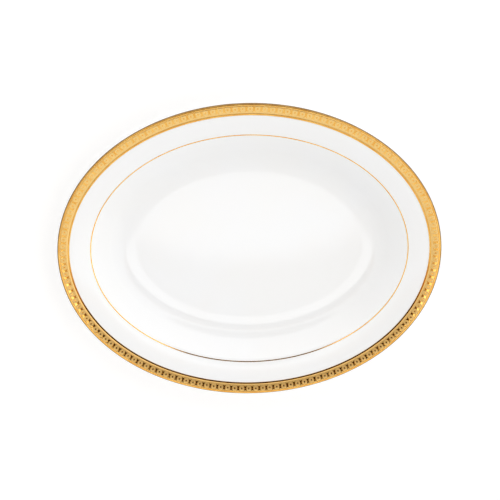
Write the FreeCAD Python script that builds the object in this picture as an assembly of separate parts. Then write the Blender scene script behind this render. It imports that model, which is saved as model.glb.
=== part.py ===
import FreeCAD, Part
import math
import os

# Oval serving platter: one porcelain body, glazed all over but for its foot, with gold fired on the rim.
# Millimetres. Z is up, the length runs along X, and the origin is the middle of the plane it rests on.
# A section is drawn as (inset, z), where inset is measured inwards from the outermost edge of the lip.
# Every section is carried round the ellipse of the lip, always square to it, so widths stay the same
# all the way round. A slope is the angle at which the surface falls inwards, in degrees, and a level is
# a height above the glazed face, square to it.

os.makedirs("parts", exist_ok=True)
Vector = FreeCAD.Vector

# Overall form
length = 356.0
width = 280.0
well_depth = 24.5
floor_thickness = 5.4
foot_height = 4.6
wall = 4.0
lip_radius = 1.5

# Rim, verge and well
lip_slope = 6.2
verge_slope = 22.0
verge_inset = 30.2
cavetto_width = 34.0
cavetto_straight = 18.0
shoulder_bend = 14.0

# Foot ring, just outside the edge of the well's floor
foot_outset = 5.0
foot_width = 4.8
foot_draft = 14.0
foot_approach = 3.2
foot_fillet = 1.4
foot_corner = 0.9
foot_bare = 1.3
recess_margin = 6.0

# Fired-on layers
glaze = 0.20
ground_film = 0.15
relief = 0.15
verge_film = 0.15

# Gilding. lip_line is what the gold of the lip covers of the face, past the rounded edge.
lip_line = 0.25
lip_wrap_slope = -112.0
band_width = 11.15
inner_line = 1.35
verge_line = 0.85

# Etched border: raised crosses and diamonds by turns, parted by straps of the sunk ground
outer_margin = 0.25
inner_margin = 1.45
strap = 0.57
cross_width = 3.7
cross_waist = 1.9
cross_notch = 0.95
cross_eye = 0.42
diamond_width = 1.9
diamond_height = 2.4
steps_per_motif = 64


def place(inset, z):
    """A section point on the XZ plane, where the ellipse of the lip crosses +X."""
    return Vector(length / 2 - inset, 0, z)


def radial(centre, radius, slope):
    """The (inset, z) point of a bend where the surface has this slope."""
    angle = math.radians(slope)
    return centre[0] + radius * math.sin(angle), centre[1] + radius * math.cos(angle)


def line(start, end):
    return Part.LineSegment(place(*start), place(*end)).toShape()


def arc(centre, radius, start, end):
    """The arc of a bend between two slopes."""
    points = [radial(centre, radius, slope) for slope in (start, (start + end) / 2, end)]
    return Part.Arc(*[place(*point) for point in points]).toShape()


# The lip is half round. Its gilding is the outermost and highest thing on the platter.
floor_z = foot_height + floor_thickness
height = floor_z + well_depth
line_film = ground_film + relief
lip_middle = (lip_radius + line_film, height - lip_radius - line_film)


def rim_bend():
    """Centre and radius of the rim's long arc, from lip_slope at the lip to verge_slope at verge_inset."""
    out, end = math.sin(math.radians(lip_slope)), math.sin(math.radians(verge_slope))
    beyond_lip = (verge_inset - lip_middle[0] - lip_radius * end) / (end - out)
    return radial(lip_middle, -beyond_lip, lip_slope), beyond_lip + lip_radius


rim_centre, rim_radius = rim_bend()
verge = radial(rim_centre, rim_radius, verge_slope)
shoulder_centre = radial(verge, -shoulder_bend, verge_slope)
floor_inset = verge_inset + cavetto_width


def well_bend():
    """Radius of the bend round the floor, and slope of the straight stretch up to the shoulder's bend."""
    across = floor_inset - shoulder_centre[0]
    drop = shoulder_centre[1] - floor_z
    spare = across**2 + drop**2 - shoulder_bend**2 - cavetto_straight**2
    radius = spare / (2 * (drop + shoulder_bend))
    rise, both = radius - drop, radius + shoulder_bend
    sine = (both * across - cavetto_straight * rise) / (across**2 + rise**2)
    return radius, math.degrees(math.asin(sine))


floor_bend, wall_slope = well_bend()
floor_centre = (floor_inset, floor_z + floor_bend)
under_level = glaze - wall


def rim_underside():
    """Centre, radius and last slope of the arc that thins the rim from under the verge to the lip."""
    start = radial(rim_centre, rim_radius + under_level, verge_slope)
    edge = lip_radius - glaze
    angle = math.radians(verge_slope)
    out, up = lip_middle[0] - start[0], lip_middle[1] - start[1]
    square = out * math.sin(angle) + up * math.cos(angle)
    radius = (out**2 + up**2 - edge**2) / (2 * (edge - square))
    centre = radial(start, -radius, verge_slope)
    return centre, radius, math.degrees(math.atan2(lip_middle[0] - centre[0], lip_middle[1] - centre[1]))


def cavetto(level, first):
    """Section edges from a slope of the floor's bend up to the verge, at this level."""
    floor_radius, shoulder_radius = level - floor_bend, level + shoulder_bend
    low = radial(floor_centre, floor_radius, wall_slope)
    high = radial(shoulder_centre, shoulder_radius, wall_slope)
    return [
        arc(floor_centre, floor_radius, first, wall_slope),
        line(low, high),
        arc(shoulder_centre, shoulder_radius, wall_slope, verge_slope),
    ]


def slope_at(inset):
    """Slope of the rim's face at an inset."""
    return math.degrees(math.asin((inset - rim_centre[0]) / rim_radius))


def rounded(points, radii):
    """A run of straight lines with its inner corners rounded."""
    edges, start = [], place(*points[0])
    for corner, after, radius in zip(points[1:], points[2:], radii):
        turn = place(*corner)
        back, ahead = (start - turn).normalize(), (place(*after) - turn).normalize()
        half_angle = back.getAngle(ahead) / 2
        reach = radius / math.tan(half_angle)
        crown = radius / math.sin(half_angle) - radius
        first, last = turn + back * reach, turn + ahead * reach
        middle = turn + (back + ahead).normalize() * crown
        edges += [Part.LineSegment(start, first).toShape(), Part.Arc(first, middle, last).toShape()]
        start = last
    return edges + [Part.LineSegment(start, place(*points[-1])).toShape()]


# The body's foot. Glaze stops at foot_bare above the plane it rests on, on both sides of the ring.
draft = math.tan(math.radians(foot_draft))
foot_outer = floor_inset - foot_outset
foot_inner = foot_outer + foot_width
recess_z = foot_height + glaze
recess_edge = foot_inner + recess_margin
approach_inset = foot_outer - foot_approach
meet_slope = math.degrees(math.asin((floor_inset - approach_inset) / (floor_bend - under_level)))
approach = radial(floor_centre, under_level - floor_bend, meet_slope)


def foot_top():
    """Where the outside, carried on straight, meets the outer side of the foot ring."""
    fall = math.tan(math.radians(meet_slope))
    z = (approach[1] - fall * (foot_outer - approach[0])) / (1 - fall * draft)
    return foot_outer - z * draft, z


outer_stop = (foot_outer - foot_bare * draft, foot_bare)
inner_stop = (foot_inner + foot_bare * draft, foot_bare)
recess_corner = (foot_inner + recess_z * draft, recess_z)
foot_outside = rounded([approach, foot_top(), outer_stop], [foot_fillet])
foot_base = rounded([outer_stop, (foot_outer, 0), (foot_inner, 0), inner_stop], [foot_corner] * 2)
foot_inside = rounded([inner_stop, recess_corner, (recess_edge, recess_z)], [foot_fillet])

# The body's outline from the floor of the well, out over the lip and back under to the foot
under_centre, under_radius, under_slope = rim_underside()
face = cavetto(-glaze, 0) + [arc(rim_centre, rim_radius - glaze, verge_slope, lip_slope)]
biscuit_lip = [arc(lip_middle, lip_radius - glaze, lip_slope, under_slope - 180)]
back = [arc(under_centre, under_radius, under_slope, verge_slope)] + cavetto(under_level, meet_slope)
face_and_back = face + biscuit_lip + back + foot_outside

# The ellipse of the lip, in four quarters
lip_ellipse = Part.Ellipse(Vector(0, 0, 0), length / 2, width / 2)
quarter = math.pi / 2
quarters = [Part.ArcOfEllipse(lip_ellipse, i * quarter, (i + 1) * quarter) for i in range(4)]
spine = Part.Wire([curve.toShape() for curve in quarters])


def wire_of(edges):
    return Part.Wire(Part.__sortEdges__(edges))


def carried(wire):
    """What a section wire makes when it is carried round the lip: a solid if it is closed, or a shell."""
    sweep = Part.BRepOffsetAPI.MakePipeShell(spine)
    sweep.setBiNormalMode(Vector(0, 0, 1))
    sweep.add(wire)
    sweep.build()
    if wire.isClosed():
        sweep.makeSolid()
    return sweep.shape()


def capped(edges):
    """The solid of a carried open section, with a flat face across each of its two open ends."""
    faces = carried(wire_of(edges)).Faces
    loops = Part.sortEdges(Part.Shell(faces).getFreeEdges().Edges)
    skin = Part.Compound(faces + [Part.Face(Part.Wire(loop)) for loop in loops])
    skin.sewShape()
    return Part.Solid(skin.Shells[0])


def coat(edges):
    """The glaze over some of the body's edges, closed off at the foot and running on over the flat."""
    coated = wire_of(edges)
    outside = coated.makeOffset2D(glaze, 0, False, True)
    foot_ends = [min(wire.Vertexes, key=lambda vertex: vertex.Z).Point for wire in (coated, outside)]
    return capped(coated.Edges + [Part.LineSegment(*foot_ends).toShape()] + outside.Edges)


def film(first, last, base, top):
    """The closed section of a layer on the rim between two insets, from one level to another."""
    slopes = slope_at(first), slope_at(last)
    low, high = rim_radius + base, rim_radius + top
    sides = [line(radial(rim_centre, low, slope), radial(rim_centre, high, slope)) for slope in slopes]
    return wire_of(sides + [arc(rim_centre, radius, *slopes) for radius in (low, high)])


def lip_film():
    """The closed section of the gold that wraps the lip, from under its edge to the border's start."""
    last = slope_at(border_start)
    edges = []
    for level in (0, line_film):
        edges.append(arc(lip_middle, lip_radius + level, lip_wrap_slope, lip_slope))
        edges.append(arc(rim_centre, rim_radius + level, lip_slope, last))
    for centre, radius, slope in ((lip_middle, lip_radius, lip_wrap_slope), (rim_centre, rim_radius, last)):
        edges.append(line(radial(centre, radius, slope), radial(centre, radius + line_film, slope)))
    return wire_of(edges)


# The border lies between the gold of the lip and the gold line inside it
border_start = lip_middle[0] + lip_radius * math.sin(math.radians(lip_slope)) + lip_line
border_end = band_width - inner_line
verge_start = verge_inset - verge_line / 2
cross_height = border_end - inner_margin - border_start - outer_margin
motif_centre = border_start + outer_margin + cross_height / 2
motif_pitch = cross_width + diamond_width + 2 * strap
motif_slope = slope_at(motif_centre)
motif_seat = place(*radial(rim_centre, rim_radius + ground_film, motif_slope))
along = Vector(0, 1, 0)
inwards = Vector(-math.cos(math.radians(motif_slope)), 0, -math.sin(math.radians(motif_slope)))
upwards = along.cross(inwards)


def station(turn):
    """The point of the lip's ellipse at a parameter, and the direction square to it, outwards."""
    point = Vector(length / 2 * math.cos(turn), width / 2 * math.sin(turn), 0)
    outwards = Vector(width / 2 * math.cos(turn), length / 2 * math.sin(turn), 0).normalize()
    return point, outwards


def border_point(turn):
    point, outwards = station(turn)
    return point - outwards * motif_centre


def border_travel():
    """Parameters once round the lip, and how far the middle of the border has run at each."""
    steps = steps_per_motif * round(math.pi * (length + width) / 2 / motif_pitch)
    turns = [2 * math.pi * i / steps for i in range(steps + 1)]
    travel = [0.0]
    for before, after in zip(turns, turns[1:]):
        travel.append(travel[-1] + (border_point(after) - border_point(before)).Length)
    return turns, travel


def stations(phase):
    """As many parameters as the border has repeats, evenly spaced along its middle."""
    turns, travel = border_travel()
    count = round(travel[-1] / motif_pitch)
    found, i = [], 0
    for k in range(count):
        goal = travel[-1] * (k + phase) / count
        while travel[i + 1] < goal:
            i += 1
        share = (goal - travel[i]) / (travel[i + 1] - travel[i])
        found.append(turns[i] + share * (turns[i + 1] - turns[i]))
    return found


def outline_point(side, depth):
    """A point of a motif's outline: 'side' along the rim and 'depth' inwards from the motif's middle."""
    return motif_seat + along * side + inwards * depth


def cross_outline():
    """A waisted cross with hollow sides and ends, and a small eye at its middle."""
    tip, end, waist = cross_width / 2, cross_height / 2, cross_waist / 2
    corners = [(tip, end), (tip, -end), (-tip, -end), (-tip, end)]
    hollows = [(waist, 0), (0, cross_notch - end), (-waist, 0), (0, end - cross_notch)]
    edges = []
    for start, hollow, stop in zip(corners, hollows, corners[1:] + corners[:1]):
        edges.append(Part.Arc(*[outline_point(*point) for point in (start, hollow, stop)]).toShape())
    eye = Part.Circle(motif_seat, upwards, cross_eye).toShape()
    return Part.makeFace([Part.Wire(edges), Part.Wire(eye)], "Part::FaceMakerBullseye")


def diamond_outline():
    tip, end = diamond_width / 2, diamond_height / 2
    corners = [(tip, 0), (0, end), (-tip, 0), (0, -end), (tip, 0)]
    return Part.Face(Part.makePolygon([outline_point(*corner) for corner in corners]))


def motifs(outline, phase):
    """One raised motif, cut by its outline from the burnished layer, and a copy of it at every station."""
    layer = Part.Face(film(border_start, border_end, ground_film, line_film))
    layer.translate(along * (-motif_pitch / 2))
    layer = layer.extrude(along * motif_pitch)
    outline.translate(upwards * -relief)
    motif = layer.common(outline.extrude(upwards * 3 * relief)).Solids[0]
    motif.translate(Vector(-length / 2, 0, 0))
    placed = []
    for turn in stations(phase):
        point, outwards = station(turn)
        copy = motif.copy()
        copy.rotate(Vector(0, 0, 0), Vector(0, 0, 1), math.degrees(math.atan2(outwards.y, outwards.x)))
        copy.translate(point)
        placed.append(copy)
    return Part.Compound(placed)


parts = {
    "porcelain_body": capped(face_and_back + foot_base + foot_inside),
    "main_glaze": coat(face_and_back),
    "recess_glaze": coat(foot_inside),
    "gold_lip": carried(lip_film()),
    "etched_gold_ground": carried(film(border_start, border_end, 0, ground_film)),
    "burnished_crosses": motifs(cross_outline(), 0),
    "burnished_diamonds": motifs(diamond_outline(), 0.5),
    "gold_inner_line": carried(film(border_end, band_width, 0, line_film)),
    "gold_verge_line": carried(film(verge_start, verge_start + verge_line, 0, verge_film)),
}

for name, shape in parts.items():
    print(name, len(shape.Solids), "solids", round(shape.Volume, 1), "mm3")
    shape.exportStep(f"parts/{name}.step")
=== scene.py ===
"""Oval serving platter: glazed porcelain, a burnished and etched gold rim, and the studio it stands in."""

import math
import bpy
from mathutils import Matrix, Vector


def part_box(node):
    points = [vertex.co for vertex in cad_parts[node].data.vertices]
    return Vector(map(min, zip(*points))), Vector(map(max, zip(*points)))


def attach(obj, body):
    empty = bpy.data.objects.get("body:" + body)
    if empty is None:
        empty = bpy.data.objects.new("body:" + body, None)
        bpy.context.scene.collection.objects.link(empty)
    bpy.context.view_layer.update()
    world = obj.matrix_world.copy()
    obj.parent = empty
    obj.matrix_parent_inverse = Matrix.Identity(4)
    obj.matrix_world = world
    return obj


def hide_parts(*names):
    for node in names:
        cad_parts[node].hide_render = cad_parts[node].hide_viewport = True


bl_info = {
    "name": "Gilt Oval Platter",
    "version": (1, 0, 0),
    "blender": (4, 5, 0),
    "location": "3D View > Sidebar > Platter",
    "description": "Builds the porcelain, glaze and gilding of an oval platter on its packed model",
    "category": "Add Mesh",
}

import bmesh
import bpy
from bpy.props import FloatProperty, FloatVectorProperty, IntProperty, PointerProperty
from mathutils import Matrix, Vector

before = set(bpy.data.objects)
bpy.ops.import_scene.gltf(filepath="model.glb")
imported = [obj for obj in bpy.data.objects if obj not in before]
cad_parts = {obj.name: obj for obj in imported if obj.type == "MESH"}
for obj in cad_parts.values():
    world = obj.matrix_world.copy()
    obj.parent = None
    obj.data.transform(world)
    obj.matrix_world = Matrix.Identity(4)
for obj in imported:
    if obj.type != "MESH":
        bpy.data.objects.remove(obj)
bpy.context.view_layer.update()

# Metres. A section is drawn as (inset, z), where inset is measured inwards from the outermost edge of the
# lip, and it is carried round the ellipse of the lip, always square to it. A slope is the angle at which
# the surface falls inwards, and a level is a height above the glazed face, square to it.
MM = 0.001
BODY = "root"


def outer_inset(node):
    """How far inside the lip a ring-shaped node starts."""
    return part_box("gold_lip")[1].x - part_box(node)[1].x


def thickness(name, text, default):
    return FloatProperty(name=name, description=text, default=default, min=0, unit="LENGTH", precision=5)


def slope(name, text, degrees):
    return FloatProperty(name=name, description=text, default=math.radians(degrees), subtype="ANGLE")


def colour(name, text, default):
    return FloatVectorProperty(name=name, description=text, default=default, subtype="COLOR", min=0, max=1)


def strength(name, text, default):
    return FloatProperty(name=name, description=text, default=default, min=0)


class PlatterForm(bpy.types.PropertyGroup):
    """The section of the platter and how finely it is carried round."""

    rounds: IntProperty(name="Rounds", description="Steps once round the rim", default=480, min=96)
    floor_thickness: thickness("Floor", "Thickness of the well's floor, glaze and all", 5.4 * MM)
    wall: thickness("Wall", "Thickness of the well's side and of the rim at the verge", 4.0 * MM)
    glaze: thickness("Glaze", "Thickness of the glaze", 0.20 * MM)
    lip_radius: thickness("Lip radius", "Radius of the glazed lip's round edge", 1.5 * MM)
    cavetto_width: thickness("Cavetto", "Width of the well's side, seen from above", 34.0 * MM)
    cavetto_straight: thickness("Straight", "Length of the straight stretch of the well's side", 18.0 * MM)
    shoulder_bend: thickness("Shoulder", "Radius of the bend just inside the verge", 14.0 * MM)
    dish_bend: thickness("Dish", "Radius of the slow curve that dishes the floor a little", 150 * MM)
    dish_slope: slope("Dish slope", "Slope at which the dish joins the floor's bend", 4.2)
    lip_slope: slope("Lip slope", "Slope of the rim's face at the lip", 6.2)
    verge_slope: slope("Verge slope", "Slope of the rim's face at the verge", 22.0)
    foot_outset: thickness("Foot outset", "How far the foot stands outside the floor's edge", 5.0 * MM)
    foot_width: thickness("Foot width", "Width of the foot where it rests", 4.8 * MM)
    foot_draft: slope("Foot draft", "Lean of the foot's two sides", 14.0)
    foot_approach: thickness("Foot approach", "Straight run of the back before the foot", 3.2 * MM)
    foot_fillet: thickness("Foot fillet", "Radius where the foot leaves the back", 1.4 * MM)
    foot_corner: thickness("Foot corner", "Radius of the foot's worn corners", 0.9 * MM)
    foot_bare: thickness("Bare foot", "Height of the foot that is left without glaze", 1.3 * MM)


class PlatterGilding(bpy.types.PropertyGroup):
    """The gold lines and the etched border between them."""

    ground_film: thickness("Ground film", "Thickness of the etched ground", 0.15 * MM)
    relief: thickness("Relief", "Height of the burnished motifs above their ground", 0.15 * MM)
    verge_film: thickness("Verge film", "Thickness of the line at the verge", 0.15 * MM)
    edge_round: thickness("Edge round", "Radius of the edges of a gold line", 0.05 * MM)
    lip_wrap: slope("Lip wrap", "Slope at which the gold ends under the lip", -112.0)
    band_width: thickness("Band width", "From the lip to the inside of the inner line", 11.15 * MM)
    verge_line: thickness("Verge line", "Width of the line at the verge", 0.85 * MM)
    outer_margin: thickness("Outer margin", "Plain ground outside the motifs", 0.25 * MM)
    inner_margin: thickness("Inner margin", "Plain ground inside the motifs", 1.45 * MM)
    cross_width: thickness("Cross width", "Width of a cross at its ends", 3.7 * MM)
    cross_waist: thickness("Cross waist", "Width of a cross at its middle", 1.9 * MM)
    cross_notch: thickness("Cross notch", "Depth of the hollow in each end of a cross", 0.95 * MM)
    cross_eye: thickness("Cross eye", "Radius of the sunk eye of a cross", 0.42 * MM)
    diamond_width: thickness("Diamond width", "Width of a diamond", 1.9 * MM)
    diamond_height: thickness("Diamond height", "Height of a diamond, across the border", 2.4 * MM)
    strap: thickness("Strap", "Width of the ground between a cross and a diamond", 0.57 * MM)
    chamfer: thickness("Chamfer", "Width of the sloping edge round a motif", 0.07 * MM)


class PlatterColours(bpy.types.PropertyGroup):
    """What each finish is tinted."""

    glaze: colour("Glaze", "White of the glazed body", (0.89, 0.90, 0.91))
    glaze_warm: colour("Glaze drift", "White that it drifts to over a hand's breadth", (0.89, 0.895, 0.895))
    biscuit: colour("Biscuit", "Unglazed porcelain of the foot", (0.80, 0.785, 0.75))
    biscuit_worn: colour("Worn biscuit", "Grey of the foot where it has stood", (0.60, 0.585, 0.56))
    gold: colour("Gold", "Burnished gold", (0.90, 0.55, 0.15))
    gold_deep: colour("Deep gold", "Burnished gold where it is thickest", (0.82, 0.44, 0.09))
    # Painted reflection: dark brown painted on the outer side of the lip, standing in for dark surroundings
    # reflected in the gold.
    painted_lip_reflection: colour("Painted lip reflection", "Dark brown painted on the outer side of the lip, standing in for a dark reflection", (0.15, 0.075, 0.03))
    etched: colour("Etched gold", "Matt gold of the sunk ground", (0.90, 0.61, 0.23))


class PlatterStudio(bpy.types.PropertyGroup):
    """The light and the camera."""

    tilt: slope("Camera tilt", "How far the camera stands off the vertical", 16.3)
    roll: slope("Camera roll", "How far the camera is turned about its own axis", -1.2)
    distance: thickness("Camera distance", "From the middle of the lip's plane", 1.148)
    lens: FloatProperty(name="Lens", description="Focal length on a 36 mm sensor", default=89.3, min=1)
    shift_x: FloatProperty(name="Shift X", description="Sideways shift of the picture", default=0.001)
    shift_y: FloatProperty(name="Shift Y", description="Upward shift of the picture", default=0.007)
    right_wall: strength("Right wall", "Strength of the tent on the right", 1.4)
    near_wall: strength("Near wall", "Strength of the tent behind the camera", 1.55)
    left_wall: strength("Left wall", "Strength of the tent on the left", 1.0)
    far_wall: strength("Far wall", "Strength of the tent beyond the platter", 1.0)
    floor_glow: strength("Floor glow", "Light of the floor's own", 0.17)


# ---------------------------------------------------------------------------------------------------------
# Nodes


class Expression:
    """A number socket of a node tree, on which plain arithmetic adds Math nodes."""

    def __init__(self, nodes, socket):
        self.nodes, self.socket = nodes, socket

    def math(self, operation, *others):
        values = dict(enumerate((self,) + others))
        return self.nodes.add("ShaderNodeMath", {"operation": operation}, values)[0]

    def __add__(self, other):
        return self.math("ADD", other)

    __radd__ = __add__

    def __mul__(self, other):
        return self.math("MULTIPLY", other)

    def __sub__(self, other):
        return self.math("SUBTRACT", other)

    def __rsub__(self, other):
        return (self * -1.0).math("ADD", other)

    def __truediv__(self, other):
        return self.math("DIVIDE", other)

    def __pow__(self, other):
        return self.math("POWER", other)


class Outputs:
    """The outputs of a node, found by place, identifier or name."""

    def __init__(self, nodes, node):
        self.nodes, self.node = nodes, node

    def __getitem__(self, key):
        return Expression(self.nodes, find_socket(self.node.outputs, key))


def find_socket(sockets, key):
    """A socket by place, identifier or name, the ones in use first where a name is shared."""
    if isinstance(key, int):
        return sockets[key]
    named = [socket for socket in sockets if key in (socket.identifier, socket.name)]
    return sorted(named, key=lambda socket: not socket.enabled)[0]


class Nodes:
    """Adds nodes to one tree and wires them."""

    def __init__(self, tree):
        self.tree = tree

    def add(self, kind, settings=None, inputs=None):
        """One node: its settings first, then the value or the link of each socket that is named."""
        node = self.tree.nodes.new(kind)
        for name, value in (settings or {}).items():
            setattr(node, name, value)
        for key, value in (inputs or {}).items():
            socket = find_socket(node.inputs, key)
            if isinstance(value, Expression):
                self.tree.links.new(value.socket, socket)
            else:
                socket.default_value = value
        return Outputs(self, node)

    def vector(self, x, y, z):
        return self.add("ShaderNodeCombineXYZ", {}, {"X": x, "Y": y, "Z": z})[0]

    def parts_of(self, vector):
        split = self.add("ShaderNodeSeparateXYZ", {}, {0: vector})
        return split["X"], split["Y"], split["Z"]

    def blend(self, factor, first, second):
        """A colour between two."""
        settings = {"data_type": "RGBA"}
        values = {"Factor_Float": factor, "A_Color": rgba(first), "B_Color": rgba(second)}
        return self.add("ShaderNodeMix", settings, values)["Result_Color"]

    def noise(self, vector, scale, detail=2.0, roughness=0.5):
        """Smooth noise between 0 and 1, with features about 1 / scale across."""
        values = {"Vector": vector, "Scale": scale, "Detail": detail, "Roughness": roughness}
        return self.add("ShaderNodeTexNoise", {}, values)[0]

    def ease(self, value, start, end):
        """0 before start, 1 after end, and a smooth rise between."""
        settings = {"interpolation_type": "SMOOTHSTEP"}
        values = {"Value": value, "From Min": start, "From Max": end}
        return self.add("ShaderNodeMapRange", settings, values)[0]

    def bump(self, height, depth):
        """The normal over a relief of this depth, for a height between 0 and 1."""
        return self.add("ShaderNodeBump", {}, {"Strength": 1.0, "Distance": depth, "Height": height})[0]


def rgba(value):
    return value if isinstance(value, Expression) else (*value[:3], 1.0)


# ---------------------------------------------------------------------------------------------------------
# Finishes


def new_finish(name, preview):
    """An empty node material, its nodes, and the colour that it shows without them."""
    material = bpy.data.materials.new(name)
    material.use_nodes = True
    material.node_tree.nodes.clear()
    material.diffuse_color = rgba(preview)
    return material, Nodes(material.node_tree)


def close_finish(nodes, **inputs):
    """A Principled surface for the whole finish. Sockets are named with _ for a space."""
    values = {name.replace("_", " "): value for name, value in inputs.items()}
    surface = nodes.add("ShaderNodeBsdfPrincipled", {}, values)
    nodes.add("ShaderNodeOutputMaterial", {}, {"Surface": surface["BSDF"]})


# How far up the foot it is worn by standing, and how far out on the lip the painted dark reflection starts
# and reaches its full strength, as parts of the half axes.
WORN_HEIGHT = 0.45 * MM
PAINTED_REFLECTION_REACH = 0.9915, 0.9960


def object_place(nodes):
    return nodes.add("ShaderNodeTexCoord")["Object"]


def rim_parts(nodes):
    """Where a point lies along each half axis of the lip's ellipse, and how far out it is, 1 at the lip."""
    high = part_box("gold_lip")[1]
    x, y, _ = nodes.parts_of(object_place(nodes))
    u, v = x / high.x, y / high.y
    return u, v, (u * u + v * v) ** 0.5


def rim_place(nodes, along, across):
    """A place that runs round the rim: 'along' steps once round, and 'across' steps per metre of inset."""
    u, v, reach = rim_parts(nodes)
    turn = along / (2 * math.pi)
    return nodes.vector(u / reach * turn, v / reach * turn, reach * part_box("gold_lip")[1].y * across)


def glaze_finish(colours):
    """Clear bright glaze on white porcelain, with a slow drift of the white and the wave of firing."""
    material, nodes = new_finish("white_glaze_on_porcelain", colours.glaze)
    place = object_place(nodes)
    drift = nodes.noise(place, scale=14.0)
    wave = nodes.noise(place, scale=95.0, detail=1.0)
    peel = nodes.noise(place, scale=420.0, detail=1.0)
    close_finish(
        nodes,
        Base_Color=nodes.blend(nodes.ease(drift, 0.35, 0.65), colours.glaze, colours.glaze_warm),
        Roughness=nodes.noise(place, scale=260.0, detail=3.0) * 0.05 + 0.025,
        Normal=nodes.bump(wave * 0.85 + peel * 0.15, depth=0.022 * MM),
        IOR=1.52,
    )
    return material


def biscuit_finish(colours):
    """Unglazed porcelain: fine dry grain, ground flat and a little grey where it stands."""
    material, nodes = new_finish("bare_biscuit_foot", colours.biscuit)
    place = object_place(nodes)
    height = nodes.parts_of(place)[2]
    grain = nodes.noise(place, scale=2600.0, detail=3.0)
    marks = nodes.noise(place, scale=240.0, detail=3.0, roughness=0.6)
    standing = 1 - nodes.ease(height, 0.0, WORN_HEIGHT)
    worn = standing * nodes.ease(marks, 0.42, 0.62)
    close_finish(
        nodes,
        Base_Color=nodes.blend(worn * 0.8, colours.biscuit, colours.biscuit_worn),
        Roughness=0.78 - worn * 0.2 + grain * 0.08,
        Normal=nodes.bump(grain, depth=0.03 * MM),
        IOR=1.5,
    )
    return material


def burnished_finish(colours):
    """Gold polished by hand: mirror bright, with faint strokes that follow the rim, and a painted dark
    reflection on the outermost part of the lip.
    """
    material, nodes = new_finish("burnished_gold_leaf", colours.gold)
    strokes = nodes.noise(rim_place(nodes, along=700.0, across=9000.0), scale=1.0)
    patches = nodes.noise(object_place(nodes), scale=130.0)
    tint = nodes.blend(nodes.ease(patches, 0.3, 0.7), colours.gold, colours.gold_deep)
    # Painted dark reflection: the outermost part of the lip is tinted dark brown, standing in for dark
    # surroundings reflected in the gold.
    edge = nodes.ease(rim_parts(nodes)[2], *PAINTED_REFLECTION_REACH) * (0.8 + patches * 0.2)
    close_finish(
        nodes,
        Base_Color=nodes.blend(edge, tint, colours.painted_lip_reflection),
        Metallic=1.0,
        Roughness=strokes * 0.04 + nodes.ease(patches, 0.35, 0.75) * 0.02 + 0.02,
        Normal=nodes.bump(strokes, depth=0.0025 * MM),
    )
    return material


def etched_finish(colours):
    """Gold over a surface that acid has bitten: matt, with a close sugary grain."""
    material, nodes = new_finish("etched_matt_gold", colours.etched)
    place = object_place(nodes)
    grain = nodes.noise(place, scale=5200.0, roughness=0.6)
    blotch = nodes.noise(place, scale=600.0)
    pits = nodes.ease(grain, 0.30, 0.46)
    close_finish(
        nodes,
        Base_Color=nodes.blend(pits, colours.gold_deep, colours.etched),
        Metallic=1.0,
        Roughness=0.27 + blotch * 0.12,
        Normal=nodes.bump(grain, depth=0.012 * MM),
    )
    return material


def floor_finish(glow):
    """Plain matt white board with a little light of its own, as if it were lit from below too."""
    board, white = (0.9, 0.9, 0.9), (1, 1, 1)
    material, nodes = new_finish("plain_white_board", board)
    close_finish(
        nodes,
        Base_Color=rgba(board),
        Roughness=nodes.noise(object_place(nodes), scale=30.0) * 0.1 + 0.85,
        Emission_Color=rgba(white),
        Emission_Strength=glow,
    )
    return material


FINISHES = {
    "white_glaze": glaze_finish,
    "biscuit_porcelain": biscuit_finish,
    "burnished_gold": burnished_finish,
    "etched_gold": etched_finish,
}
finish_cache = {}


def finish_for(slot):
    """The material of one of the record's slots, made once."""
    if slot not in finish_cache:
        finish_cache[slot] = FINISHES[slot](bpy.context.scene.platter_colours)
    return finish_cache[slot]


# ---------------------------------------------------------------------------------------------------------
# Sections

# Steps in the stretches of a section. A fillet's are also those of the foot's worn corners, and an edge is
# the rounded edge of a gold line.
DISH_STEPS, FLOOR_STEPS, SHOULDER_STEPS, RIM_STEPS = 10, 22, 8, 18
LIP_STEPS, UNDER_STEPS, FILLET_STEPS, EDGE_STEPS = 12, 12, 5, 3
GOLD_UNDER_STEPS, GOLD_LIP_STEPS, GOLD_RIM_STEPS = 16, 20, 2
INNER_LINE_STEPS, VERGE_LINE_STEPS, GROUND_STEPS = 5, 4, 6

# Points of a section that lie closer than this are one point.
SAME_POINT = 0.002 * MM

# How far in over the floor the outlines run, before a flat lid closes them.
LID_INSET = 20 * MM


def radial(centre, radius, angle):
    """The (inset, z) point of a bend where the surface has this slope."""
    return centre[0] + radius * math.sin(angle), centre[1] + radius * math.cos(angle)


def arc(centre, radius, start, end, steps):
    """Points of a bend between two slopes."""
    return [radial(centre, radius, start + (end - start) * i / steps) for i in range(steps + 1)]


def quarter(centre, radius, start, sign):
    """Points of the quarter turn of a gold line's edge, from the slope of its top."""
    turns = [sign * math.pi / 2 * i / EDGE_STEPS for i in range(EDGE_STEPS + 1)]
    return [radial(centre, radius, start + turn) for turn in turns]


def run(*stretches):
    """One line of points through several stretches, each of which starts where the last one ended."""
    points = []
    for stretch in stretches:
        for point in stretch:
            if not points or math.dist(point, points[-1]) > SAME_POINT:
                points.append(point)
    return points


def rounded(points, radii, steps):
    """A run of straight lines with its inner corners rounded."""
    made = [points[0]]
    for before, corner, after, radius in zip(points, points[1:], points[2:], radii):
        corner = Vector(corner)
        back = (Vector(before) - corner).normalized()
        ahead = (Vector(after) - corner).normalized()
        middle = corner + (back + ahead).normalized() * radius / math.sin(back.angle(ahead) / 2)
        first, last = (squared(side, corner - middle) for side in (back, ahead))
        made += [tuple(middle + first.slerp(last, i / steps) * radius) for i in range(steps + 1)]
    return made + [points[-1]]


def squared(side, towards):
    """The unit vector square to a side that points this way."""
    square = side.orthogonal()
    return square if square.dot(towards) > 0 else -square


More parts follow.
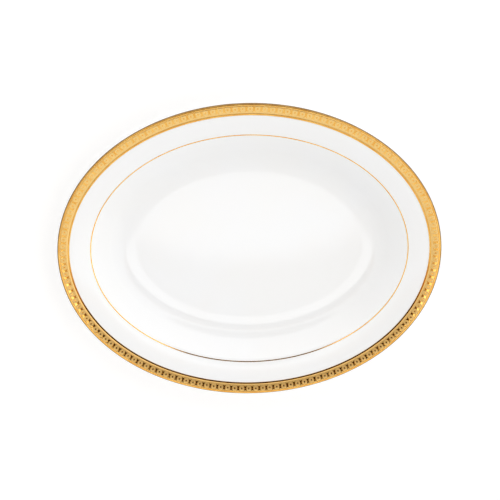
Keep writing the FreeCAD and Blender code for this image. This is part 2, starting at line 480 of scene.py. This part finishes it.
def beside(points, offset):
    """A run of points moved sideways, to its left as it is followed."""
    moved = []
    for i, point in enumerate(points):
        before, after = Vector(points[max(i - 1, 0)]), Vector(points[min(i + 1, len(points) - 1)])
        here = Vector(point)
        steps = [step.normalized() for step in (here - before, after - here) if step.length > 0]
        direction = sum(steps, Vector((0, 0))).normalized()
        moved.append((here.x - direction.y * offset, here.y + direction.x * offset))
    return moved


class Section:
    """Where every bend of the platter lies, worked out from its form and from the frame."""

    def __init__(self, form, gilding):
        self.form, self.gilding = form, gilding
        line_film = gilding.ground_film + gilding.relief
        foot_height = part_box("recess_glaze")[1].z - form.glaze
        self.half_length, self.half_width, self.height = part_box("gold_lip")[1]
        self.line_film = line_film
        self.floor_z = foot_height + form.floor_thickness
        self.recess_z = foot_height + form.glaze
        self.under_level = form.glaze - form.wall
        self.lip_middle = (form.lip_radius + line_film, self.height - form.lip_radius - line_film)
        self.border_start = outer_inset("etched_gold_ground")
        self.border_end = outer_inset("gold_inner_line")
        self.verge_start = outer_inset("gold_verge_line")
        self.verge_inset = self.verge_start + gilding.verge_line / 2
        self.floor_inset = self.verge_inset + form.cavetto_width
        self.set_rim()
        self.set_well()
        self.set_underside()

    def set_rim(self):
        """The rim's long arc, from lip_slope at the lip to verge_slope at the verge."""
        form = self.form
        out, end = math.sin(form.lip_slope), math.sin(form.verge_slope)
        beyond_lip = (self.verge_inset - self.lip_middle[0] - form.lip_radius * end) / (end - out)
        self.rim_centre = radial(self.lip_middle, -beyond_lip, form.lip_slope)
        self.rim_radius = beyond_lip + form.lip_radius
        verge = radial(self.rim_centre, self.rim_radius, form.verge_slope)
        self.shoulder_centre = radial(verge, -form.shoulder_bend, form.verge_slope)

    def set_well(self):
        """The bend round the floor, and the slope of the straight stretch up to the shoulder."""
        form = self.form
        across = self.floor_inset - self.shoulder_centre[0]
        drop = self.shoulder_centre[1] - self.floor_z
        spare = across**2 + drop**2 - form.shoulder_bend**2 - form.cavetto_straight**2
        self.floor_bend = spare / (2 * (drop + form.shoulder_bend))
        rise, both = self.floor_bend - drop, self.floor_bend + form.shoulder_bend
        sine = (both * across - form.cavetto_straight * rise) / (across**2 + rise**2)
        self.wall_slope = math.asin(sine)
        self.floor_centre = (self.floor_inset, self.floor_z + self.floor_bend)

    def set_underside(self):
        """The arc that thins the rim's underside from the verge to the lip, and the way to the foot."""
        form = self.form
        start = radial(self.rim_centre, self.rim_radius + self.under_level, form.verge_slope)
        edge = form.lip_radius - form.glaze
        out, up = self.lip_middle[0] - start[0], self.lip_middle[1] - start[1]
        square = out * math.sin(form.verge_slope) + up * math.cos(form.verge_slope)
        self.under_radius = (out**2 + up**2 - edge**2) / (2 * (edge - square))
        self.under_centre = radial(start, -self.under_radius, form.verge_slope)
        lip_out, lip_up = (self.lip_middle[i] - self.under_centre[i] for i in (0, 1))
        self.under_slope = math.atan2(lip_out, lip_up)
        self.foot_outer = self.floor_inset - form.foot_outset
        self.foot_inner = self.foot_outer + form.foot_width
        under_bend = self.floor_bend - self.under_level
        self.meet_slope = math.asin((form.foot_outset + form.foot_approach) / under_bend)

    def slope_at(self, inset):
        """Slope of the rim's face at an inset."""
        return math.asin((inset - self.rim_centre[0]) / self.rim_radius)

    def rim_point(self, angle, level):
        return radial(self.rim_centre, self.rim_radius + level, angle)

    def dish(self, angle, level):
        """Where the slow curve that dishes the floor, inside the floor's bend, has this slope."""
        form = self.form
        joint = radial(self.floor_centre, -self.floor_bend, form.dish_slope)
        centre = radial(joint, form.dish_bend, form.dish_slope)
        return radial(centre, level - form.dish_bend, angle)

    def cavetto(self, level, first):
        """The well's side from a slope of the floor's bend up to the verge, at this level."""
        form = self.form
        return run(
            arc(self.floor_centre, level - self.floor_bend, first, self.wall_slope, FLOOR_STEPS),
            arc(
                self.shoulder_centre,
                level + form.shoulder_bend,
                self.wall_slope,
                form.verge_slope,
                SHOULDER_STEPS,
            ),
        )

    def glazed_outline(self):
        """The body under its main glaze, from the floor of the well over the lip and back to the foot."""
        form = self.form
        edge = form.lip_radius - form.glaze
        fall, draft = math.tan(self.meet_slope), math.tan(form.foot_draft)
        approach = radial(self.floor_centre, self.under_level - self.floor_bend, self.meet_slope)
        top_z = (approach[1] - fall * (self.foot_outer - approach[0])) / (1 - fall * draft)
        foot_top = (self.foot_outer - top_z * draft, top_z)
        return run(
            [(self.floor_inset + LID_INSET, self.dish(0, -form.glaze)[1])],
            [self.dish(form.dish_slope * i / DISH_STEPS, -form.glaze) for i in range(DISH_STEPS + 1)],
            self.cavetto(-form.glaze, form.dish_slope),
            arc(self.rim_centre, self.rim_radius - form.glaze, form.verge_slope, form.lip_slope, RIM_STEPS),
            arc(self.lip_middle, edge, form.lip_slope, self.under_slope - math.pi, LIP_STEPS),
            arc(self.under_centre, self.under_radius, self.under_slope, form.verge_slope, UNDER_STEPS),
            self.cavetto(self.under_level, self.meet_slope)[::-1],
            rounded([approach, foot_top, self.foot_stops()[0]], [form.foot_fillet], FILLET_STEPS),
        )

    def foot_stops(self):
        """Where the glaze ends on the outer and on the inner side of the foot."""
        lean = self.form.foot_bare * math.tan(self.form.foot_draft)
        return (self.foot_outer - lean, self.form.foot_bare), (self.foot_inner + lean, self.form.foot_bare)

    def foot_base(self):
        outer_stop, inner_stop = self.foot_stops()
        corners = [outer_stop, (self.foot_outer, 0), (self.foot_inner, 0), inner_stop]
        return rounded(corners, [self.form.foot_corner] * 2, FILLET_STEPS)

    def recess_outline(self):
        """The body under the glaze of the recess, from the foot to near the middle."""
        lean = self.recess_z * math.tan(self.form.foot_draft)
        corner = (self.foot_inner + lean, self.recess_z)
        reach = (self.floor_inset + LID_INSET, self.recess_z)
        return rounded([self.foot_stops()[1], corner, reach], [self.form.foot_fillet], FILLET_STEPS)

    def film(self, first, last, top, steps):
        """The closed section of a gold line on the rim between two insets, with its edges rounded off."""
        ends = self.slope_at(first), self.slope_at(last)
        base = arc(self.rim_centre, self.rim_radius, *ends, steps)
        edge = self.gilding.edge_round
        turn = edge / self.rim_radius
        shoulders = []
        for sign, end in ((1, ends[0]), (-1, ends[1])):
            corner = end + sign * turn
            centre = self.rim_point(corner, top - edge)
            shoulder = quarter(centre, edge, corner, -sign)[::-1]
            shoulders.append(shoulder + [self.rim_point(corner + sign * turn, top)])
        crown = arc(self.rim_centre, self.rim_radius + top, ends[0] + 3 * turn, ends[1] - 3 * turn, steps)
        return run(base[::-1], shoulders[0], crown, shoulders[1][::-1])


def current_section():
    scene = bpy.context.scene
    return Section(scene.platter_form, scene.platter_gilding)


# ---------------------------------------------------------------------------------------------------------
# Geometry trees


def new_tree(name, inputs):
    """A geometry tree with named inputs, its nodes, and the expressions of its inputs."""
    tree = bpy.data.node_groups.new(name, "GeometryNodeTree")
    for label, kind in {"Geometry": "NodeSocketGeometry", **inputs}.items():
        tree.interface.new_socket(name=label, in_out="INPUT", socket_type=kind)
    tree.interface.new_socket(name="Geometry", in_out="OUTPUT", socket_type="NodeSocketGeometry")
    nodes = Nodes(tree)
    return tree, nodes, nodes.add("NodeGroupInput")


def close_tree(nodes, geometry, material):
    """The end of a tree: plain geometry in one material."""
    real = nodes.add("GeometryNodeRealizeInstances", {}, {"Geometry": geometry})
    finished = nodes.add("GeometryNodeSetMaterial", {}, {"Geometry": real[0], "Material": material})
    nodes.add("NodeGroupOutput", {}, {"Geometry": finished[0]})


def lip_ellipse(nodes, inputs):
    """The ellipse of the lip, as a curve whose normals point straight outwards."""
    unit = {"Resolution": inputs["Rounds"], "Radius": 1.0}
    circle = nodes.add("GeometryNodeCurvePrimitiveCircle", {}, unit)
    size = nodes.vector(inputs["Half length"], inputs["Half width"], 1.0)
    ellipse = nodes.add("GeometryNodeTransform", {}, {"Geometry": circle[0], "Scale": size})
    return nodes.add("GeometryNodeSetCurveNormal", {"mode": "Z_UP"}, {"Curve": ellipse[0]})[0]


LIP_INPUTS = {
    "Half length": "NodeSocketFloat",
    "Half width": "NodeSocketFloat",
    "Rounds": "NodeSocketInt",
    "Material": "NodeSocketMaterial",
}


def carrying_tree():
    """Carries a section, drawn as a chain of edges, once round the lip."""
    tree, nodes, inputs = new_tree("Carry a section round the lip", LIP_INPUTS)
    profile = nodes.add("GeometryNodeMeshToCurve", {}, {"Mesh": inputs["Geometry"]})
    sockets = {"Curve": lip_ellipse(nodes, inputs), "Profile Curve": profile[0]}
    skin = nodes.add("GeometryNodeCurveToMesh", {}, sockets)
    smooth = nodes.add("GeometryNodeSetShadeSmooth", {}, {"Geometry": skin[0], "Shade Smooth": True})
    close_tree(nodes, smooth[0], inputs["Material"])
    return tree


def spacing_tree():
    """Sets copies of a motif evenly along the middle of the border, each turned to face outwards."""
    extra = {"Inset": "NodeSocketFloat", "Count": "NodeSocketInt", "Phase": "NodeSocketFloat"}
    tree, nodes, inputs = new_tree("Space motifs along the border", {**LIP_INPUTS, **extra})
    ellipse = lip_ellipse(nodes, inputs)
    normal = nodes.add("GeometryNodeInputNormal")[0]
    inwards = nodes.add(
        "ShaderNodeVectorMath", {"operation": "SCALE"}, {0: normal, "Scale": inputs["Inset"] * -1.0}
    )
    path = nodes.add("GeometryNodeSetPosition", {}, {"Geometry": ellipse, "Offset": inwards[0]})[0]
    index = nodes.add("GeometryNodeInputIndex")[0]
    share = (index + inputs["Phase"]) / inputs["Count"]
    sampled = nodes.add("GeometryNodeSampleCurve", {"mode": "FACTOR"}, {"Curves": path, "Factor": share})
    points = nodes.add(
        "GeometryNodePoints", {}, {"Count": inputs["Count"], "Position": sampled["Position"]}
    )
    facing = nodes.add(
        "FunctionNodeAxesToRotation",
        {"primary_axis": "Z", "secondary_axis": "Y"},
        {"Primary Axis": (0, 0, 1), "Secondary Axis": sampled["Tangent"]},
    )
    placed = nodes.add(
        "GeometryNodeInstanceOnPoints",
        {},
        {"Points": points[0], "Instance": inputs["Geometry"], "Rotation": facing[0]},
    )
    close_tree(nodes, placed[0], inputs["Material"])
    return tree


def made_through(tree, mesh, values):
    """The plain mesh that a geometry tree makes of a mesh."""
    source = bpy.data.objects.new("source", mesh)
    bpy.context.scene.collection.objects.link(source)
    modifier = source.modifiers.new(tree.name, "NODES")
    modifier.node_group = tree
    for item in tree.interface.items_tree:
        if item.in_out == "INPUT" and item.name in values:
            modifier[item.identifier] = values[item.name]
    evaluated = source.evaluated_get(bpy.context.evaluated_depsgraph_get())
    made = bpy.data.meshes.new_from_object(evaluated)
    source.modifiers.remove(modifier)
    bpy.data.objects.remove(source)
    return made


def lip_values(section, slot):
    return {
        "Half length": section.half_length,
        "Half width": section.half_width,
        "Rounds": section.form.rounds,
        "Material": finish_for(slot),
    }


def carried(section, points, closed, slot):
    """The mesh of a section carried round the lip. An open section is closed off across the middle."""
    count = len(points)
    edges = [(i, (i + 1) % count) for i in range(count if closed else count - 1)]
    chain = bpy.data.meshes.new("section")
    chain.from_pydata([(-inset, -z, 0) for inset, z in points], edges, [])
    mesh = made_through(carrying_tree(), chain, lip_values(section, slot))
    shell = bmesh.new()
    shell.from_mesh(mesh)
    rims = [edge for edge in shell.edges if edge.is_boundary]
    if rims:
        lids = bmesh.ops.holes_fill(shell, edges=rims)["faces"]
        fans = bmesh.ops.poke(shell, faces=lids)["faces"]
        for face in fans:
            face.smooth = True
    bmesh.ops.recalc_face_normals(shell, faces=shell.faces)
    shell.to_mesh(mesh)
    shell.free()
    return mesh


def new_piece(name, mesh, slot, *nodes):
    """A finished piece on the platter's one body, in place of the frame's nodes."""
    piece = bpy.data.objects.new(name, mesh)
    mesh.name = name
    bpy.context.scene.collection.objects.link(piece)
    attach(piece, BODY)
    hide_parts(*nodes)


# ---------------------------------------------------------------------------------------------------------
# Motifs

# How far out towards a tip the eye's corner lies, so that no face folds over a hollow side.
EYE_CORNERS = 0.3

# How far the bottom of the eye stays above the etched ground.
PIT_RISE = 0.02 * MM

# Edges that turn by less than this are shaded smooth.
SHARP_ANGLE = math.radians(25)

# A sharp corner is drawn in by the width over this at the most.
LEAST_SHARE = 0.5

# Steps along a cross's hollow end and along its waisted side.
END_STEPS, SIDE_STEPS = 4, 8


def hollowed(start, stop, depth, steps):
    """Points from one corner towards the next along a side that curves in by this depth."""
    start, stop = Vector(start), Vector(stop)
    along = (stop - start).normalized()
    inwards = Vector((along.y, -along.x))
    inwards = -inwards if inwards.dot(start + stop) > 0 else inwards
    shares = [i / steps for i in range(steps)]
    return [start.lerp(stop, share) + inwards * depth * 4 * share * (1 - share) for share in shares]


def shrunk(outline, width):
    """An outline drawn in by this width, corner by corner."""
    drawn = []
    for i, here in enumerate(outline):
        before, after = outline[i - 1], outline[(i + 1) % len(outline)]
        back, ahead = (before - here).normalized(), (after - here).normalized()
        along = (ahead - back).normalized()
        square = Vector((-along.y, along.x))
        square = -square if square.dot(here) > 0 else square
        drawn.append(here + square * width / max(math.cos(along.angle(ahead)), LEAST_SHARE))
    return drawn


def motif_mesh(section, name, rings, centre):
    """A raised motif from rings of (outline, level), each joined to the next, and flat at both ends."""
    shape = bmesh.new()
    loops = []
    for outline, level in rings:
        loop = []
        for point in outline:
            inset, z = section.rim_point(section.slope_at(centre - point.x), level)
            loop.append(shape.verts.new((centre - inset, point.y, z)))
        loops.append(loop)
    for lower, upper in zip(loops, loops[1:]):
        for i in range(len(lower)):
            shape.faces.new((lower[i - 1], lower[i], upper[i], upper[i - 1]))
    for loop in (loops[0], loops[-1]):
        shape.faces.new(loop)
    bmesh.ops.recalc_face_normals(shape, faces=shape.faces)
    for face in shape.faces:
        face.smooth = True
    for edge in shape.edges:
        edge.smooth = edge.calc_face_angle(0) < SHARP_ANGLE
    mesh = bpy.data.meshes.new(name)
    shape.to_mesh(mesh)
    shape.free()
    return mesh


def cross_rings(gilding, height):
    """A waisted cross with hollow sides and ends, a chamfer round it and a sunk eye in its middle."""
    tip, end = gilding.cross_width / 2, height / 2
    waist = tip - gilding.cross_waist / 2
    corners = [(end, tip), (end, -tip), (-end, -tip), (-end, tip)]
    sides = [(gilding.cross_notch, END_STEPS), (waist, SIDE_STEPS)] * 2
    outline, rays = [], []
    for start, stop, (depth, steps) in zip(corners, corners[1:] + corners[:1], sides):
        outline += hollowed(start, stop, depth, steps)
        first, last = (Vector((x, y * EYE_CORNERS)).normalized() for x, y in (start, stop))
        rays += [first.slerp(last, i / steps) for i in range(steps)]
    base, top = gilding.ground_film, gilding.ground_film + gilding.relief
    eye = [ray * gilding.cross_eye for ray in rays]
    pit = [ray * (gilding.cross_eye - gilding.chamfer) for ray in rays]
    return [(outline, base), (shrunk(outline, gilding.chamfer), top), (eye, top), (pit, base + PIT_RISE)]


def diamond_rings(gilding):
    """A plain diamond with a chamfer round it."""
    tip, end = gilding.diamond_width / 2, gilding.diamond_height / 2
    outline = [Vector(corner) for corner in ((end, 0), (0, -tip), (-end, 0), (0, tip))]
    base, top = gilding.ground_film, gilding.ground_film + gilding.relief
    return [(outline, base), (shrunk(outline, gilding.chamfer), top)]


def bordered(section, name, rings, phase):
    """The mesh of a motif repeated once round the border."""
    gilding = section.gilding
    centre = motif_centre(section)
    pitch = gilding.cross_width + gilding.diamond_width + 2 * gilding.strap
    count = round(border_travel(section, centre) / pitch)
    values = {**lip_values(section, "burnished_gold"), "Inset": centre, "Count": count, "Phase": phase}
    return made_through(spacing_tree(), motif_mesh(section, name, rings, centre), values)


def cross_height(section):
    gilding = section.gilding
    return section.border_end - gilding.inner_margin - section.border_start - gilding.outer_margin


def motif_centre(section):
    return section.border_start + section.gilding.outer_margin + cross_height(section) / 2


def border_travel(section, inset):
    """The distance once round the rim at an inset: that of the lip's ellipse, less a full turn of inset."""
    steps = section.form.rounds
    turns = [2 * math.pi * i / steps for i in range(steps + 1)]
    points = [(section.half_length * math.cos(t), section.half_width * math.sin(t)) for t in turns]
    return sum(math.dist(a, b) for a, b in zip(points, points[1:])) - 2 * math.pi * inset


# ---------------------------------------------------------------------------------------------------------
# Operators


class PLATTER_OT_porcelain_body(bpy.types.Operator):
    """Build the porcelain body, which shows at the bare foot"""

    bl_idname = "platter.porcelain_body"
    bl_label = "Porcelain Body"

    def execute(self, context):
        section = current_section()
        points = run(section.glazed_outline(), section.foot_base(), section.recess_outline())
        slot = "biscuit_porcelain"
        new_piece("fired_porcelain_body", carried(section, points, False, slot), slot, "porcelain_body")
        return {"FINISHED"}


class PLATTER_OT_glaze(bpy.types.Operator):
    """Pour the glaze over the platter and into the recess of its foot"""

    bl_idname = "platter.glaze"
    bl_label = "Glaze"

    def execute(self, context):
        section = current_section()
        coats = {
            "main_glaze": ("glaze_over_face_and_back", section.glazed_outline()),
            "recess_glaze": ("glaze_in_foot_recess", section.recess_outline()[::-1]),
        }
        for node, (name, inside) in coats.items():
            side = section.form.glaze if node == "main_glaze" else -section.form.glaze
            outside = beside(inside, -side)
            points = run(inside, outside[::-1])
            new_piece(name, carried(section, points, False, "white_glaze"), "white_glaze", node)
        return {"FINISHED"}


class PLATTER_OT_gold_lines(bpy.types.Operator):
    """Gild the lip, the line inside the border and the line at the verge"""

    bl_idname = "platter.gold_lines"
    bl_label = "Gold Lines"

    def execute(self, context):
        section = current_section()
        gilding = section.gilding
        verge_end = section.verge_start + gilding.verge_line
        lines = {
            "gold_lip": ("burnished_lip", lip_section(section)),
            "gold_inner_line": (
                "burnished_inner_line",
                section.film(section.border_end, gilding.band_width, section.line_film, INNER_LINE_STEPS),
            ),
            "gold_verge_line": (
                "burnished_verge_line",
                section.film(section.verge_start, verge_end, gilding.verge_film, VERGE_LINE_STEPS),
            ),
        }
        for node, (name, points) in lines.items():
            new_piece(name, carried(section, points, True, "burnished_gold"), "burnished_gold", node)
        return {"FINISHED"}


def lip_section(section):
    """The closed section of the gold that wraps the lip, from under its edge to the border."""
    form, gilding = section.form, section.gilding
    last = section.slope_at(section.border_start)
    edge = gilding.edge_round
    base = run(
        arc(section.lip_middle, form.lip_radius, gilding.lip_wrap, form.lip_slope, GOLD_UNDER_STEPS),
        arc(section.rim_centre, section.rim_radius, form.lip_slope, last, GOLD_RIM_STEPS),
    )
    top = form.lip_radius + section.line_film
    rim_top = section.rim_radius + section.line_film
    under = gilding.lip_wrap + edge / top
    under_centre = radial(section.lip_middle, top - edge, under)
    inner_turn = last - edge / section.rim_radius
    inner_centre = section.rim_point(inner_turn, section.line_film - edge)
    return run(
        base[::-1],
        quarter(under_centre, edge, under, -1)[::-1],
        arc(section.lip_middle, top, under, form.lip_slope, GOLD_LIP_STEPS),
        arc(section.rim_centre, rim_top, form.lip_slope, inner_turn, GOLD_RIM_STEPS),
        quarter(inner_centre, edge, inner_turn, 1),
    )


class PLATTER_OT_etched_border(bpy.types.Operator):
    """Lay the etched gold ground and set its burnished crosses and diamonds along it"""

    bl_idname = "platter.etched_border"
    bl_label = "Etched Border"

    def execute(self, context):
        section = current_section()
        gilding = section.gilding
        ends = section.slope_at(section.border_start), section.slope_at(section.border_end)
        radii = (section.rim_radius, section.rim_radius + gilding.ground_film)
        low, high = (arc(section.rim_centre, radius, *ends, GROUND_STEPS) for radius in radii)
        ground = carried(section, low + high[::-1], True, "etched_gold")
        new_piece("etched_ground", ground, "etched_gold", "etched_gold_ground")
        crosses = bordered(section, "cross", cross_rings(gilding, cross_height(section)), 0.0)
        new_piece("raised_crosses", crosses, "burnished_gold", "burnished_crosses")
        diamonds = bordered(section, "diamond", diamond_rings(gilding), 0.5)
        new_piece("raised_diamonds", diamonds, "burnished_gold", "burnished_diamonds")
        return {"FINISHED"}


class PLATTER_OT_stage(bpy.types.Operator):
    """Set up the floor, the light and the camera"""

    bl_idname = "platter.stage"
    bl_label = "Stage"

    def execute(self, context):
        studio = context.scene.platter_studio
        lay_floor(studio)
        light_tent(context.scene, studio)
        place_camera(context.scene, studio)
        context.scene.view_settings.view_transform = "Standard"
        return {"FINISHED"}


# ---------------------------------------------------------------------------------------------------------
# Stage


FLOOR_HALF = 40.0
SENSOR_WIDTH = 36

# The bearing of the middle of each wall of the tent, and how far off that it starts and ends to fade.
WALL_TURNS = {
    "right_wall": 0.0,
    "near_wall": math.pi / 2,
    "left_wall": math.pi,
    "far_wall": 1.5 * math.pi,
}
WALL_FADE = math.radians(35), math.radians(55)

# Oval patches of the tent, each over the ones before it: how far its middle leans from straight overhead
# towards the camera, half its height, half its width, all in degrees, and its light. Each one fades over
# these parts of its half height and half width.
PATCH_FADE = 0.85, 1.15
PATCHES = {
    "warm surround of the opening": (-1.0, 15.0, 25.0, (0.52, 0.30, 0.11)),
    "dark opening": (-1.0, 10.5, 19.0, (0.06, 0.035, 0.015)),
    "long lamp": (-13.2, 3.4, 7.0, (2.3, 2.3, 2.3)),
    "dark panel": (31.0, 13.0, 26.0, (0.10, 0.08, 0.05)),
}


def lay_floor(studio):
    """A wide floor, flat under the foot."""
    corners = [(x * FLOOR_HALF, y * FLOOR_HALF, 0) for x, y in ((-1, -1), (1, -1), (1, 1), (-1, 1))]
    mesh = bpy.data.meshes.new("floor")
    mesh.from_pydata(corners, [], [(0, 1, 2, 3)])
    mesh.materials.append(floor_finish(studio.floor_glow))
    floor = bpy.data.objects.new("floor", mesh)
    bpy.context.scene.collection.objects.link(floor)


def light_tent(scene, studio):
    """A white tent with walls of different strengths and a few patches overhead."""
    world = bpy.data.worlds.new("white_tent")
    world.use_nodes = True
    world.node_tree.nodes.clear()
    nodes = Nodes(world.node_tree)
    x, y, z = nodes.parts_of(nodes.add("ShaderNodeTexCoord")["Generated"])
    bearing = y.math("ARCTAN2", x)
    shade = 0.0
    for side, turn in WALL_TURNS.items():
        turned = (bearing - turn + 3 * math.pi).math("FLOORED_MODULO", 2 * math.pi)
        away = (turned - math.pi).math("ABSOLUTE")
        shade = (1 - nodes.ease(away, *WALL_FADE)) * getattr(studio, side) + shade
    lean, sideways = y.math("ARCTAN2", z), x.math("ARCTAN2", z)
    for tilt, half_height, half_width, light in PATCHES.values():
        up = (lean - math.radians(tilt)) / math.radians(half_height)
        across = sideways / math.radians(half_width)
        reach = (up * up + across * across) ** 0.5
        inside = (1 - nodes.ease(reach, *PATCH_FADE)) * z.math("GREATER_THAN", 0.0)
        shade = nodes.blend(inside, shade, light)
    surround = nodes.add("ShaderNodeBackground", {}, {"Color": shade, "Strength": 1.0})
    nodes.add("ShaderNodeOutputWorld", {}, {"Surface": surround[0]})
    scene.world = world


def place_camera(scene, studio):
    """The camera stands on the +Y side and looks down and away from it."""
    lens = bpy.data.cameras.new("camera")
    lens.lens = studio.lens
    lens.sensor_width = SENSOR_WIDTH
    lens.shift_x, lens.shift_y = studio.shift_x, studio.shift_y
    camera = bpy.data.objects.new("camera", lens)
    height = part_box("gold_lip")[1].z
    back = Vector((0, math.sin(studio.tilt), math.cos(studio.tilt)))
    up = Vector((0, math.cos(studio.tilt), -math.sin(studio.tilt)))
    axes = Matrix((Vector((1, 0, 0)), up, back)).transposed().to_4x4()
    stand = Matrix.Translation(Vector((0, 0, height)) + back * studio.distance)
    camera.matrix_world = stand @ axes @ Matrix.Rotation(studio.roll, 4, "Z")
    scene.collection.objects.link(camera)
    scene.camera = camera


# ---------------------------------------------------------------------------------------------------------
# Add-on


class PLATTER_PT_sidebar(bpy.types.Panel):
    """The platter's pieces and its studio, in the order they are made"""

    bl_label = "Gilt Oval Platter"
    bl_space_type = "VIEW_3D"
    bl_region_type = "UI"
    bl_category = "Platter"

    def draw(self, context):
        for operator in OPERATORS:
            self.layout.operator(operator.bl_idname)
        for group in GROUPS:
            settings = getattr(context.scene, group)
            box = self.layout.box()
            for name in settings.bl_rna.properties.keys():
                if name not in ("rna_type", "name"):
                    box.prop(settings, name)


GROUPS = {
    "platter_form": PlatterForm,
    "platter_gilding": PlatterGilding,
    "platter_colours": PlatterColours,
    "platter_studio": PlatterStudio,
}
OPERATORS = (
    PLATTER_OT_porcelain_body,
    PLATTER_OT_glaze,
    PLATTER_OT_gold_lines,
    PLATTER_OT_etched_border,
    PLATTER_OT_stage,
)


def register():
    for cls in (*GROUPS.values(), *OPERATORS, PLATTER_PT_sidebar):
        bpy.utils.register_class(cls)
    for name, group in GROUPS.items():
        setattr(bpy.types.Scene, name, PointerProperty(type=group))


def unregister():
    for name in GROUPS:
        delattr(bpy.types.Scene, name)
    for cls in (PLATTER_PT_sidebar, *reversed(OPERATORS), *reversed(GROUPS.values())):
        bpy.utils.unregister_class(cls)


def main():
    register()
    bpy.ops.platter.porcelain_body()
    bpy.ops.platter.glaze()
    bpy.ops.platter.gold_lines()
    bpy.ops.platter.etched_border()
    bpy.ops.platter.stage()


if __name__ == "__main__":
    main()
